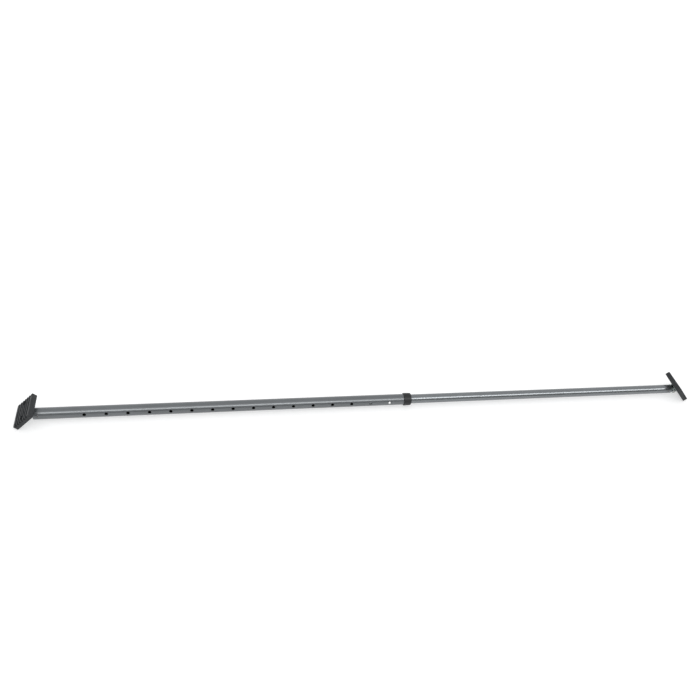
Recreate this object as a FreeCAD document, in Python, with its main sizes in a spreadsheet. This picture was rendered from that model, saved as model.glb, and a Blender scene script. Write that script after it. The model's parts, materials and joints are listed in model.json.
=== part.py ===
"""Telescoping bed cargo bar: two steel tubes with a snap button, an internal take-up spring and a swivelling
rubber foot at each end.

Millimetres. +X runs along the bar, +Z is up, and the origin lies on the ground midway between the two foot
pivots. The bar is shown at its full length, lying on the ground: the collar and the lower back edge of each
foot pad stand on Z = 0. Each sub-part is an object of its own, and its Label names its file.
"""

import FreeCAD, Part
import math
import os
import Sketcher
from FreeCAD import Placement, Rotation, Vector

SIZES = {
    # telescoping tubes and the row of button holes
    "outer_diameter": 28.6,
    "outer_wall": 1.6,
    "outer_length": 933.0,
    "inner_diameter": 24.4,
    "inner_wall": 1.6,
    "inner_length": 910.0,
    "hole_pitch": 50.8,
    "hole_count": 16,
    "hole_diameter": 7.5,
    "first_hole_inset": 117.0,
    "button_hole_inset": 72.0,
    "hole_row_angle": 14.0,
    "take_up_travel": 50.8,
    # collar on the open end of the outer tube
    "collar_diameter": 34.0,
    "collar_length": 20.5,
    "collar_cover": 14.0,
    "collar_bore": 25.0,
    "collar_round": 1.5,
    # glide on the hidden end of the inner tube
    "glide_diameter": 25.2,
    "glide_flange": 3.0,
    "glide_plug_diameter": 21.1,
    "glide_plug_length": 15.0,
    "glide_bore": 14.0,
    # snap button, its carrier and its spring
    "carrier_diameter": 20.6,
    "carrier_length": 24.0,
    "carrier_bore": 9.9,
    "button_diameter": 6.9,
    "button_tip": 16.9,
    "button_dome_height": 2.3,
    "button_flange_diameter": 9.5,
    "button_flange_top": 9.2,
    "button_flange_height": 1.3,
    "button_spring_seat": -4.2,
    "button_spring_diameter": 8.8,
    "button_spring_wire": 0.8,
    "button_spring_turns": 5.0,
    "spring_end_gap": 0.3,
    # take-up spring and the stop that it pushes on
    "spring_length": 108.0,
    "spring_diameter": 19.4,
    "spring_wire": 2.2,
    "spring_turns": 15.0,
    "stop_diameter": 21.1,
    "stop_length": 9.0,
    "stop_bore": 8.0,
    # end plugs, their cross pins and the foot pivots
    "pivot_out_left": 7.2,
    "pivot_out_right": 8.5,
    "plug_clearance": 0.1,
    "plug_depth": 20.0,
    "plug_recess": 1.0,
    "tongue_width": 9.0,
    "tongue_radius": 6.4,
    "pin_inset": 11.0,
    "pin_diameter": 5.0,
    "pin_bore": 3.0,
    "pin_slit": 1.0,
    "pivot_diameter": 6.0,
    "pivot_clearance": 0.08,
    # foot bracket
    "ear_gap": 11.0,
    "ear_thickness": 2.5,
    "ear_radius": 6.8,
    "plate_width": 62.0,
    "plate_height": 26.0,
    "plate_thickness": 2.0,
    "plate_corner": 4.0,
    # pivot bolt, nut and washers
    "bolt_head_size": 10.0,
    "bolt_head_height": 4.0,
    "bolt_shank": 23.0,
    "nut_size": 10.0,
    "nut_height": 5.0,
    "washer_diameter": 12.0,
    "washer_thickness": 0.8,
    # rubber pad and its screws
    "pad_width": 72.0,
    "pad_height": 60.0,
    "pad_thickness": 12.7,
    "pad_back": 7.0,
    "pad_corner": 3.5,
    "pad_chamfer": 0.8,
    "rib_count": 7,
    "rib_pitch": 8.0,
    "groove_mouth": 4.6,
    "groove_floor": 2.8,
    "groove_depth": 3.4,
    "screw_spacing": 46.0,
    "screw_recess_diameter": 12.0,
    "screw_recess_depth": 6.0,
    "screw_diameter": 5.0,
    "screw_head_diameter": 9.5,
    "screw_head_height": 3.0,
    "screw_length": 6.7,
}

doc = FreeCAD.newDocument("bed_cargo_bar")
sheet = doc.addObject("Spreadsheet::Sheet", "Sizes")
for row, (alias, value) in enumerate(SIZES.items(), start=1):
    sheet.set(f"A{row}", f"'{alias}")
    sheet.set(f"B{row}", str(value))
    sheet.setAlias(f"B{row}", alias)
doc.recompute()

nodes = {}
X_AXIS, Y_AXIS, Z_AXIS = Vector(1, 0, 0), Vector(0, 1, 0), Vector(0, 0, 1)
SIDES = ("left", "right")


def size(alias):
    """A driving dimension, read from the spreadsheet."""
    return float(sheet.get(alias))


def bind(item, **formulas):
    """Tie properties to spreadsheet cells: words in a formula that are aliases become cell references."""
    for prop, formula in formulas.items():
        item.setExpression(prop, cells(formula))


def cells(formula):
    """The formula with each alias written as a reference to its cell."""
    out, word = "", ""
    for char in formula + " ":
        if char.isalnum() or char == "_":
            word += char
            continue
        out += (f"Sizes.{word}" if word in SIZES else word) + char
        word = ""
    return out.strip()


def number(formula):
    """The present value of a formula of the sheet."""
    value = sheet.evalExpression(cells(formula))
    return float(getattr(value, "Value", value))


def node(name, item, placement):
    """Name a finished sub-part and put it in its place."""
    item.Label = name
    item.Placement = placement
    nodes[name] = item
    return item


# ---- Part primitives and booleans, each bound to the sheet ----

def along(axis):
    return Rotation(Z_AXIS, axis)


def cylinder(name, diameter, length, start=Vector(), axis=Z_AXIS):
    item = doc.addObject("Part::Cylinder", name)
    bind(item, Radius=f"({diameter}) / 2", Height=length)
    item.Placement = Placement(start, along(axis))
    return item


def box(name, length, width, height, centre=Vector()):
    """A box centred on a point. The three formulas are its sizes along X, Y and Z."""
    item = doc.addObject("Part::Box", name)
    bind(item, Length=length, Width=width, Height=height)
    doc.recompute()
    half = Vector(item.Length.Value, item.Width.Value, item.Height.Value) * 0.5
    item.Placement = Placement(centre - half, Rotation())
    return item


def hexagon(name, across_flats, height, start, axis):
    item = doc.addObject("Part::Prism", name)
    item.Polygon = 6
    bind(item, Circumradius=f"({across_flats}) / 2 / cos(30)", Height=height)
    item.Placement = Placement(start, along(axis))
    return item


def cut(name, base, *tools):
    """The base with each tool taken away in turn."""
    for number, tool in enumerate(tools, start=1):
        item = doc.addObject("Part::Cut", name if number == len(tools) else f"{name}_step_{number}")
        item.Base, item.Tool = base, tool
        base = item
    return base


def fuse(name, *shapes):
    item = doc.addObject("Part::MultiFuse", name)
    item.Shapes = list(shapes)
    return item


def group(name, *solids):
    """Identical pieces kept as separate solids of one sub-part."""
    item = doc.addObject("Part::Compound", name)
    item.Links = list(solids)
    return item


# ---- PartDesign bodies ----

def new_body(name):
    return doc.addObject("PartDesign::Body", name)


def new_sketch(body, name, plane, offset=None):
    """A sketch on one of the body's own origin planes, moved off it by a bound distance if one is given."""
    sketch = body.newObject("Sketcher::SketchObject", name)
    support = next(f for f in body.Origin.OriginFeatures if f.Role == plane)
    sketch.AttachmentSupport = [(support, "")]
    sketch.MapMode = "FlatFace"
    if offset:
        sketch.setExpression("AttachmentOffset.Base.z", cells(offset))
    return sketch


def constrain(sketch, formula, *definition):
    """Add a driving constraint whose value is a formula of the sheet."""
    index = sketch.addConstraint(Sketcher.Constraint(*definition, number(formula)))
    sketch.setExpression(f"Constraints[{index}]", cells(formula))


def place_point(sketch, geometry, point, x_formula, y_formula):
    """Hold a point at bound distances from the sketch's origin."""
    constrain(sketch, x_formula, "DistanceX", -1, 1, geometry, point)
    constrain(sketch, y_formula, "DistanceY", -1, 1, geometry, point)


def draw_circle(sketch, diameter, x="0", y="0"):
    line = sketch.addGeometry(Part.Circle(Vector(), Z_AXIS, 1.0), False)
    constrain(sketch, f"({diameter}) / 2", "Radius", line)
    place_point(sketch, line, 3, x, y)


def draw_outline(sketch, corners):
    """A closed outline of straight lines through corners given as pairs of formulas."""
    values = [Vector(number(x), number(y), 0) for x, y in corners]
    for start, end in zip(values, values[1:] + values[:1]):
        sketch.addGeometry(Part.LineSegment(start, end), False)
    last = len(corners) - 1
    for index, (x, y) in enumerate(corners):
        before = index - 1 if index else last
        sketch.addConstraint(Sketcher.Constraint("Coincident", before, 2, index, 1))
        place_point(sketch, index, 1, x, y)


def pad(body, sketch, name, length, midplane=False):
    feature = body.newObject("PartDesign::Pad", name)
    feature.Profile = sketch
    bind(feature, Length=length)
    feature.Midplane = midplane
    return feature


def pocket(body, sketch, name, length, reverse=False, midplane=False):
    """Cut the sketch into the body, and stop if nothing was removed."""
    doc.recompute()
    before = body.Shape.Volume
    feature = body.newObject("PartDesign::Pocket", name)
    feature.Profile = sketch
    bind(feature, Length=length)
    feature.Reversed = reverse
    feature.Midplane = midplane
    doc.recompute()
    if body.Shape.Volume > before - 1e-3:
        raise RuntimeError(f"{name} cuts nothing")
    return feature


def repeat(body, feature, name, sketch, axis, spacing, count):
    """A linear pattern of a feature along an axis of its sketch."""
    pattern = body.newObject("PartDesign::LinearPattern", name)
    pattern.Originals = [feature]
    pattern.Direction = (sketch, [axis])
    bind(pattern, Length=f"({spacing}) * (({count}) - 1)", Occurrences=count)
    body.Tip = pattern
    return pattern


def turned(name, outline):
    """A body turned about its own X axis from an outline of (x, radius) corners."""
    body = new_body(name)
    sketch = new_sketch(body, f"{name}_outline", "XZ_Plane")
    draw_outline(sketch, outline)
    feature = body.newObject("PartDesign::Revolution", f"{name}_turn")
    feature.Profile = sketch
    feature.ReferenceAxis = (sketch, ["H_Axis"])
    feature.Angle = 360
    return body


def spring(name, diameter, wire, length, turns):
    """A round-wire compression spring along +Z that fills a length from the origin, less a gap at each end."""
    radius = (diameter - wire) / 2
    gap = size("spring_end_gap")
    rise = length - wire - 2 * gap
    lift = Vector(0, 0, wire / 2 + gap)
    path = Part.Wire(Part.makeHelix(rise / turns, rise, radius).Edges)
    path.translate(lift)
    section = Part.Wire(Part.makeCircle(wire / 2, Vector(radius, 0, 0) + lift, Y_AXIS))
    item = doc.addObject("Part::Feature", name)
    item.Shape = path.makePipeShell([section], True, True)
    return item


# ---- where things are along the bar ----

axis_height = size("collar_diameter") / 2
pivot_span = (
    size("pivot_out_left") + size("first_hole_inset")
    + size("hole_pitch") * (size("hole_count") - 1)
    - size("button_hole_inset") + size("inner_length") + size("pivot_out_right")
)
outer_start = -pivot_span / 2 + size("pivot_out_left")
last_hole = outer_start + size("first_hole_inset") + size("hole_pitch") * (size("hole_count") - 1)
inner_start = last_hole - size("button_hole_inset")
carrier_end = last_hole + size("carrier_length") / 2
stop_start = carrier_end + size("spring_length")


def on_bar(x):
    """A frame on the bar's axis at x, turned so that its -Y points out through the row of holes."""
    return Placement(Vector(x, 0, axis_height), Rotation(X_AXIS, -size("hole_row_angle")))


def at_pivot(side):
    """A frame at a foot's pivot. Its +X points along the bar towards the middle."""
    sign, turn = (-1, 0) if side == "left" else (1, 180)
    return Placement(Vector(sign * pivot_span / 2, 0, axis_height), Rotation(Z_AXIS, turn))


def pad_lean():
    """The angle at which a pad's lower back edge stands on the ground, in degrees from square."""
    back, half = size("pad_back"), size("pad_height") / 2
    return math.degrees(math.atan2(half, back) - math.asin(axis_height / math.hypot(back, half)))


def on_foot(side):
    """A frame at a foot's pivot that leans with the pad. The pad lies on its -X side."""
    return at_pivot(side).multiply(Placement(Vector(), Rotation(Y_AXIS, pad_lean())))


# ---- tubes and collar ----

def make_tube(name, diameter, wall, length):
    """A round tube along +X with square-cut ends."""
    body = new_body(name)
    sketch = new_sketch(body, f"{name}_section", "YZ_Plane")
    draw_circle(sketch, diameter)
    draw_circle(sketch, f"{diameter} - 2 * {wall}")
    pad(body, sketch, f"{name}_length", length)
    return body


def make_pin_hole(body, name, x, diameter):
    """A cross-pin hole through both walls of a tube."""
    sketch = new_sketch(body, f"{name}_sketch", "XZ_Plane")
    draw_circle(sketch, "pin_diameter", x)
    pocket(body, sketch, name, f"2 * {diameter}", midplane=True)


def make_outer_tube():
    body = make_tube("outer_tube_body", "outer_diameter", "outer_wall", "outer_length")
    make_pin_hole(body, "outer_pin_hole", "pin_inset", "outer_diameter")
    sketch = new_sketch(body, "button_hole_sketch", "XZ_Plane")
    draw_circle(sketch, "hole_diameter", "first_hole_inset")
    hole = pocket(body, sketch, "button_hole", "outer_diameter", reverse=True)
    repeat(body, hole, "button_holes", sketch, "H_Axis", "hole_pitch", "hole_count")
    return node("outer_tube", body, on_bar(outer_start))


def make_inner_tube():
    body = make_tube("inner_tube_body", "inner_diameter", "inner_wall", "inner_length")
    make_pin_hole(body, "inner_pin_hole", "inner_length - pin_inset", "inner_diameter")
    sketch = new_sketch(body, "button_slot_sketch", "XZ_Plane")
    draw_slot(sketch, "button_hole_inset", "take_up_travel", "hole_diameter")
    pocket(body, sketch, "button_slot", "inner_diameter", reverse=True)
    return node("inner_tube", body, on_bar(inner_start))


def draw_slot(sketch, start, travel, width):
    """A round-ended slot along the sketch's X axis."""
    radius = number(f"({width}) / 2")
    first, last = number(start), number(f"({start}) + ({travel})")
    ends = (
        Part.ArcOfCircle(Part.Circle(Vector(first, 0, 0), Z_AXIS, radius), math.pi / 2, 3 * math.pi / 2),
        Part.ArcOfCircle(Part.Circle(Vector(last, 0, 0), Z_AXIS, radius), -math.pi / 2, math.pi / 2),
    )
    sides = (
        Part.LineSegment(Vector(first, -radius, 0), Vector(last, -radius, 0)),
        Part.LineSegment(Vector(last, radius, 0), Vector(first, radius, 0)),
    )
    for line in (*ends, *sides):
        sketch.addGeometry(line, False)
    for one, one_end, other, other_end in ((0, 2, 2, 1), (2, 2, 1, 1), (1, 2, 3, 1), (3, 2, 0, 1)):
        sketch.addConstraint(Sketcher.Constraint("Tangent", one, one_end, other, other_end))
    constrain(sketch, f"({width}) / 2", "Radius", 0)
    place_point(sketch, 0, 3, start, "0")
    constrain(sketch, f"({start}) + ({travel})", "DistanceX", -1, 1, 1, 3)


def make_collar():
    """The moulded collar: it is pushed over the end of the outer tube and guides the inner one."""
    outside, round_off = "collar_diameter / 2", "collar_round"
    body = turned("collar_body", [
        ("0", "outer_diameter / 2"),
        ("0", f"{outside} - {round_off}"),
        (round_off, outside),
        (f"collar_length - {round_off}", outside),
        ("collar_length", f"{outside} - {round_off}"),
        ("collar_length", "collar_bore / 2"),
        ("collar_cover", "collar_bore / 2"),
        ("collar_cover", "outer_diameter / 2"),
    ])
    tube_end = outer_start + size("outer_length")
    return node("tube_collar", body, on_bar(tube_end - size("collar_cover")))


def make_glide():
    """The plastic glide plugged into the hidden end of the inner tube."""
    body = turned("glide_body", [
        ("-glide_flange", "glide_bore / 2"),
        ("-glide_flange", "glide_diameter / 2"),
        ("0", "glide_diameter / 2"),
        ("0", "glide_plug_diameter / 2"),
        ("glide_plug_length", "glide_plug_diameter / 2"),
        ("glide_plug_length", "glide_bore / 2"),
    ])
    return node("inner_glide", body, on_bar(inner_start))


# ---- snap button and take-up spring ----

def make_carrier():
    """The plug that slides inside the inner tube and holds the snap button in a blind bore."""
    plug = cylinder("carrier_plug", "carrier_diameter", "carrier_length",
                    Vector(-size("carrier_length") / 2, 0, 0), X_AXIS)
    bore = cylinder("carrier_bore_tool", "carrier_bore", "carrier_diameter",
                    Vector(0, -size("button_spring_seat"), 0), -Y_AXIS)
    return node("button_carrier", cut("button_carrier_cut", plug, bore), on_bar(last_hole))


def make_button():
    """The snap button: a round pin with a domed tip and a flange that keeps it inside the tube."""
    flange_start = "button_flange_top - button_flange_height"
    dome = "button_tip - button_dome_height"
    body = turned("button_body", [
        (flange_start, "0"),
        (flange_start, "button_flange_diameter / 2"),
        ("button_flange_top", "button_flange_diameter / 2"),
        ("button_flange_top", "button_diameter / 2"),
        (dome, "button_diameter / 2"),
        ("button_tip - button_dome_height * 0.6", "button_diameter / 2 * 0.92"),
        ("button_tip - button_dome_height * 0.28", "button_diameter / 2 * 0.72"),
        ("button_tip - button_dome_height * 0.07", "button_diameter / 2 * 0.4"),
        ("button_tip", "button_diameter / 2 * 0.12"),
        ("button_tip", "0"),
    ])
    outward = Placement(Vector(), Rotation(X_AXIS, -Y_AXIS))
    return node("snap_button", body, on_bar(last_hole).multiply(outward))


def make_springs():
    seat = size("button_spring_seat")
    length = size("button_flange_top") - size("button_flange_height") - seat
    item = spring("button_spring_wire_shape", size("button_spring_diameter"), size("button_spring_wire"),
                  length, size("button_spring_turns"))
    outward = Placement(Vector(0, -seat, 0), along(-Y_AXIS))
    node("button_spring", item, on_bar(last_hole).multiply(outward))
    item = spring("main_spring_wire_shape", size("spring_diameter"), size("spring_wire"),
                  size("spring_length"), size("spring_turns"))
    node("take_up_spring", item, on_bar(carrier_end).multiply(Placement(Vector(), along(X_AXIS))))


def make_stop():
    """The plug staked inside the inner tube that the take-up spring pushes on."""
    plug = cylinder("stop_plug", "stop_diameter", "stop_length", Vector(), X_AXIS)
    bore = cylinder("stop_bore_tool", "stop_bore", "stop_length", Vector(), X_AXIS)
    return node("spring_stop", cut("spring_stop_cut", plug, bore), on_bar(stop_start))


# ---- end plugs and foot pivots ----

def make_end_plug(side):
    """A plug in the tube's end with a flat tongue that carries the foot's pivot bolt."""
    tube = "outer" if side == "left" else "inner"
    out = f"pivot_out_{side}"
    tube_end = size(out)
    bore = f"({tube}_diameter - 2 * {tube}_wall - plug_clearance)"
    plug = cylinder(f"{side}_plug", bore, "plug_depth - plug_recess",
                    Vector(tube_end + size("plug_recess"), 0, 0), X_AXIS)
    reach = tube_end + size("plug_recess") + 1.0
    arm = box(f"{side}_tongue", f"{out} + plug_recess + 1", "tongue_width", "2 * tongue_radius",
              Vector(reach / 2, 0, 0))
    tip = cylinder(f"{side}_tongue_tip", "2 * tongue_radius", "tongue_width",
                   Vector(0, -size("tongue_width") / 2, 0), Y_AXIS)
    blank = fuse(f"{side}_plug_blank", plug, arm, tip)
    pivot_hole = cylinder(f"{side}_plug_pivot_hole", "pivot_diameter + 2 * pivot_clearance",
                          "2 * tongue_width", Vector(0, -size("tongue_width"), 0), Y_AXIS)
    pin_hole = cylinder(f"{side}_plug_pin_hole", "pin_diameter", "2 * outer_diameter",
                        *pin_line(side, size("outer_diameter")))
    return node(f"{side}_end_plug", cut(f"{side}_end_plug_cut", blank, pivot_hole, pin_hole), at_pivot(side))


def pin_line(side, reach):
    """Where a cross pin starts, and its direction, in the pivot's frame: it is parallel to the hole row's axis."""
    turn = -size("hole_row_angle") if side == "left" else size("hole_row_angle")
    direction = Rotation(X_AXIS, turn).multVec(-Y_AXIS)
    centre = Vector(size(f"pivot_out_{side}") + size("pin_inset"), 0, 0)
    return centre - direction * reach, direction


def make_cross_pin(side):
    """A slotted spring pin through the tube and its end plug, flush with the tube at both ends."""
    tube = "outer" if side == "left" else "inner"
    reach = size(f"{tube}_diameter") / 2 - 0.2
    start, direction = pin_line(side, reach)
    length = f"{tube}_diameter - 0.4"
    shell = cut(
        f"{side}_cross_pin_cut",
        cylinder(f"{side}_pin", "pin_diameter", length),
        cylinder(f"{side}_pin_bore", "pin_bore", length),
        box(f"{side}_pin_slit", "pin_diameter", "pin_slit", length,
            Vector(size("pin_diameter") / 2, 0, reach)),
    )
    return node(f"{side}_cross_pin", shell, at_pivot(side).multiply(Placement(start, along(direction))))


def make_bracket(side):
    """The foot bracket: a plate let into the back of the pad, and two ears that straddle the tongue."""
    body = new_body(f"{side}_bracket_body")
    sketch = new_sketch(body, f"{side}_plate_sketch", "YZ_Plane", "-pad_back - plate_thickness")
    half_width, half_height = "plate_width / 2", "plate_height / 2"
    draw_outline(sketch, [
        (f"-{half_width}", f"-{half_height} + plate_corner"), (f"-{half_width}", f"{half_height} - plate_corner"),
        (f"-{half_width} + plate_corner", half_height), (f"{half_width} - plate_corner", half_height),
        (half_width, f"{half_height} - plate_corner"), (half_width, f"-{half_height} + plate_corner"),
        (f"{half_width} - plate_corner", f"-{half_height}"), (f"-{half_width} + plate_corner", f"-{half_height}"),
    ])
    for sign in "-+":
        draw_circle(sketch, "screw_diameter", f"{sign}screw_spacing / 2")
    pad(body, sketch, f"{side}_plate", "plate_thickness")
    sketch = new_sketch(body, f"{side}_ear_sketch", "XZ_Plane")
    draw_ear(sketch)
    pad(body, sketch, f"{side}_ears", "ear_gap + 2 * ear_thickness", midplane=True)
    sketch = new_sketch(body, f"{side}_gap_sketch", "YZ_Plane", "-pad_back")
    draw_outline(sketch, [
        ("-ear_gap / 2", "-plate_height"), ("ear_gap / 2", "-plate_height"),
        ("ear_gap / 2", "plate_height"), ("-ear_gap / 2", "plate_height"),
    ])
    pocket(body, sketch, f"{side}_gap", "pad_back + 2 * ear_radius", reverse=True)
    return node(f"{side}_bracket", body, on_foot(side))


def draw_ear(sketch):
    """The side view of an ear: it widens from its round end at the pivot to its foot on the plate."""
    radius, back, foot = size("ear_radius"), size("pad_back"), size("plate_height") / 2 - 2.0
    arc = Part.ArcOfCircle(Part.Circle(Vector(), Z_AXIS, radius), -math.pi / 2, math.pi / 2)
    corners = [Vector(0, radius, 0), Vector(-back, foot, 0), Vector(-back, -foot, 0), Vector(0, -radius, 0)]
    sketch.addGeometry(arc, False)
    for start, end in zip(corners, corners[1:]):
        sketch.addGeometry(Part.LineSegment(start, end), False)
    for one, other in ((0, 1), (1, 2), (2, 3)):
        sketch.addConstraint(Sketcher.Constraint("Coincident", one, 2, other, 1))
    sketch.addConstraint(Sketcher.Constraint("Coincident", 3, 2, 0, 1))
    constrain(sketch, "ear_radius", "Radius", 0)
    place_point(sketch, 0, 3, "0", "0")
    constrain(sketch, "0", "DistanceX", -1, 1, 0, 1)
    constrain(sketch, "0", "DistanceX", -1, 1, 0, 2)
    place_point(sketch, 1, 2, "-pad_back", "plate_height / 2 - 2")
    place_point(sketch, 2, 2, "-pad_back", "2 - plate_height / 2")
    draw_circle(sketch, "pivot_diameter")


def make_pivot_hardware(side):
    """Hex bolt, nut and two washers of a foot's pivot, all turning with the foot."""
    ear = size("ear_gap") / 2 + size("ear_thickness")
    head = hexagon(f"{side}_bolt_head", "bolt_head_size", "bolt_head_height", Vector(0, ear, 0), Y_AXIS)
    shank = cylinder(f"{side}_bolt_shank", "pivot_diameter", "bolt_shank", Vector(0, ear, 0), -Y_AXIS)
    node(f"{side}_pivot_bolt", fuse(f"{side}_bolt_fuse", head, shank), on_foot(side))
    blank = hexagon(f"{side}_nut_blank", "nut_size", "nut_height", Vector(0, -ear, 0), -Y_AXIS)
    bore = cylinder(f"{side}_nut_bore", "pivot_diameter", "nut_height", Vector(0, -ear, 0), -Y_AXIS)
    node(f"{side}_pivot_nut", cut(f"{side}_nut_cut", blank, bore), on_foot(side))
    rings = []
    for place, sign in (("near", -1), ("far", 1)):
        start = Vector(0, sign * (size("ear_gap") / 2 - 0.05), 0)
        disc = cylinder(f"{side}_{place}_disc", "washer_diameter", "washer_thickness", start, Y_AXIS * -sign)
        eye = cylinder(f"{side}_{place}_eye", "pivot_diameter", "washer_thickness", start, Y_AXIS * -sign)
        rings.append(cut(f"{side}_{place}_washer", disc, eye))
    node(f"{side}_pivot_washers", group(f"{side}_washer_pair", *rings), on_foot(side))


# ---- rubber pads ----

def make_pad(side):
    """The ribbed rubber pad, with a seat for the bracket plate in its back and two recessed screw holes."""
    body = new_body(f"{side}_pad_body")
    sketch = new_sketch(body, f"{side}_pad_outline", "YZ_Plane", "-pad_back - pad_thickness")
    draw_outline(sketch, [
        ("-pad_width / 2", "-pad_height / 2"), ("pad_width / 2", "-pad_height / 2"),
        ("pad_width / 2", "pad_height / 2"), ("-pad_width / 2", "pad_height / 2"),
    ])
    block = pad(body, sketch, f"{side}_pad_block", "pad_thickness")
    doc.recompute()
    corners = [
        f"Edge{number}" for number, edge in enumerate(block.Shape.Edges, start=1)
        if edge.BoundBox.XLength > size("pad_thickness") - 0.01
    ]
    rounding = body.newObject("PartDesign::Fillet", f"{side}_pad_corners")
    rounding.Base = (block, corners)
    bind(rounding, Radius="pad_corner")
    doc.recompute()
    front = -size("pad_back") - size("pad_thickness")
    rim = [
        f"Edge{number}" for number, edge in enumerate(rounding.Shape.Edges, start=1)
        if edge.BoundBox.XMax < front + 0.01
    ]
    bevel = body.newObject("PartDesign::Chamfer", f"{side}_pad_rim")
    bevel.Base = (rounding, rim)
    bind(bevel, Size="pad_chamfer")
    groove = make_groove(body, side)
    count = "rib_count - 1"
    repeat(body, groove[0], f"{side}_grooves", groove[1], "V_Axis", "rib_pitch", count)
    make_pad_sockets(body, side)
    return node(f"{side}_pad", body, on_foot(side))


def make_groove(body, side):
    """The lowest groove between two ribs, across the whole width of the front face."""
    sketch = new_sketch(body, f"{side}_groove_sketch", "XZ_Plane")
    level = "-rib_pitch * (rib_count - 2) / 2"
    front = "-pad_back - pad_thickness"
    draw_outline(sketch, [
        (f"{front} - 1", f"{level} - groove_mouth / 2"),
        (front, f"{level} - groove_mouth / 2"),
        (f"{front} + groove_depth", f"{level} - groove_floor / 2"),
        (f"{front} + groove_depth", f"{level} + groove_floor / 2"),
        (front, f"{level} + groove_mouth / 2"),
        (f"{front} - 1", f"{level} + groove_mouth / 2"),
    ])
    return pocket(body, sketch, f"{side}_groove", "2 * pad_width", midplane=True), sketch


def make_pad_sockets(body, side):
    """The seat of the bracket plate and the stepped screw holes."""
    sketch = new_sketch(body, f"{side}_seat_sketch", "YZ_Plane", "-pad_back")
    draw_outline(sketch, [
        ("-plate_width / 2 - 0.2", "-plate_height / 2 - 0.2"), ("plate_width / 2 + 0.2", "-plate_height / 2 - 0.2"),
        ("plate_width / 2 + 0.2", "plate_height / 2 + 0.2"), ("-plate_width / 2 - 0.2", "plate_height / 2 + 0.2"),
    ])
    pocket(body, sketch, f"{side}_seat", "plate_thickness")
    front = "-pad_back - pad_thickness"
    for name, diameter, depth in (
        ("recess", "screw_recess_diameter", "screw_recess_depth"),
        ("hole", "screw_diameter", "pad_thickness"),
    ):
        sketch = new_sketch(body, f"{side}_{name}_sketch", "YZ_Plane", front)
        for sign in "-+":
            draw_circle(sketch, diameter, f"{sign}screw_spacing / 2")
        pocket(body, sketch, f"{side}_{name}", depth, reverse=True)


def make_pad_screws(side):
    """Two pan-head screws through the pad, each ending flush in a tapped hole of the plate."""
    seat = -size("pad_back") - size("pad_thickness") + size("screw_recess_depth")
    screws = []
    for place, sign in (("near", -1), ("far", 1)):
        start = Vector(seat, sign * size("screw_spacing") / 2, 0)
        head = cylinder(f"{side}_{place}_screw_head", "screw_head_diameter", "screw_head_height", start, -X_AXIS)
        shank = cylinder(f"{side}_{place}_screw_shank", "screw_diameter", "screw_length", start, X_AXIS)
        screws.append(fuse(f"{side}_{place}_screw", head, shank))
    node(f"{side}_pad_screws", group(f"{side}_screw_pair", *screws), on_foot(side))


def export():
    """Stop on any failed object or bad shape, then write one file for each sub-part."""
    doc.recompute()
    for item in doc.Objects:
        if {"Invalid", "Error"} & set(item.State):
            raise RuntimeError(f"{item.Name} failed: {item.State}")
    for name, item in nodes.items():
        if item.Shape.isNull() or not item.Shape.isValid() or not item.Shape.Solids:
            raise RuntimeError(f"{name} has no valid solid")
    os.makedirs("parts", exist_ok=True)
    for name, item in nodes.items():
        item.Shape.exportStep(f"parts/{name}.step")
    print(f"{len(nodes)} sub-parts; pivots {pivot_span:.1f} mm apart; pads lean {pad_lean():.2f} degrees")


make_outer_tube()
make_collar()
make_inner_tube()
make_glide()
make_carrier()
make_button()
make_springs()
make_stop()
for foot in SIDES:
    make_end_plug(foot)
    make_cross_pin(foot)
    make_bracket(foot)
    make_pivot_hardware(foot)
    make_pad(foot)
    make_pad_screws(foot)
export()
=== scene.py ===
"""The look of the telescoping bed cargo bar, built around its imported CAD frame.

The frame is in metres, with +X along the bar and +Z up. Each piece is built in millimetres in a simple frame
of its own, and a matrix made from the record's joints and boxes puts it in place.
"""
import json
import math

import bmesh
import bpy
from mathutils import Matrix, Vector


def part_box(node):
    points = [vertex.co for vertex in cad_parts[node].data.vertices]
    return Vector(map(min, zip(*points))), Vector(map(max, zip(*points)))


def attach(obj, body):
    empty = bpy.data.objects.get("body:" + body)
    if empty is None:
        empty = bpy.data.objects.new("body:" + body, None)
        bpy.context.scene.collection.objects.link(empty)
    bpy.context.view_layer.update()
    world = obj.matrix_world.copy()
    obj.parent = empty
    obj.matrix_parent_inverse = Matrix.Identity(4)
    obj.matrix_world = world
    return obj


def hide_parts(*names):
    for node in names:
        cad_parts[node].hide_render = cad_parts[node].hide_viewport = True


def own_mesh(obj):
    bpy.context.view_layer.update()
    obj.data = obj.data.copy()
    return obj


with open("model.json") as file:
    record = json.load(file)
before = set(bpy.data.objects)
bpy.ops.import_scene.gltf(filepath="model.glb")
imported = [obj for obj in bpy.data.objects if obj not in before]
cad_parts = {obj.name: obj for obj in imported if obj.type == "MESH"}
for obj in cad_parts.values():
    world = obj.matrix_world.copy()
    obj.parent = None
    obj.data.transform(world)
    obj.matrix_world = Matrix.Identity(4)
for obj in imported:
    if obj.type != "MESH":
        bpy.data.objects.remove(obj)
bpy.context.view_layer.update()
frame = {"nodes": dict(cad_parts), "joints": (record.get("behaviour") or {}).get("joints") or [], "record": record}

MM = 0.001
SIDES = ("left", "right")
joints = {j["name"]: j for j in frame["joints"]}
mounts = {m["name"]: m for m in frame["record"]["mounts"]}
slots = {s["node"]: s["material_slot"] for s in frame["record"]["subparts"]}
body_of_node = {n: b for b, members in frame["record"]["behaviour"]["bodies"].items() for n in members}

# ---- where things are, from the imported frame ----

PIVOT = {side: Vector(joints[f"{side}_foot_swivel"]["pos_m"]) for side in SIDES}
INWARD = Vector(joints["button_press"]["axis"])
ROW_ANGLE = math.atan2(-INWARD.z, INWARD.y)
FACE = Vector(mounts["left_pad_face"]["axis"])
LEAN = math.atan2(FACE.z, -FACE.x)
AXIS_Z = PIVOT["left"].z


def low_x(node):
    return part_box(node)[0].x


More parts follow.
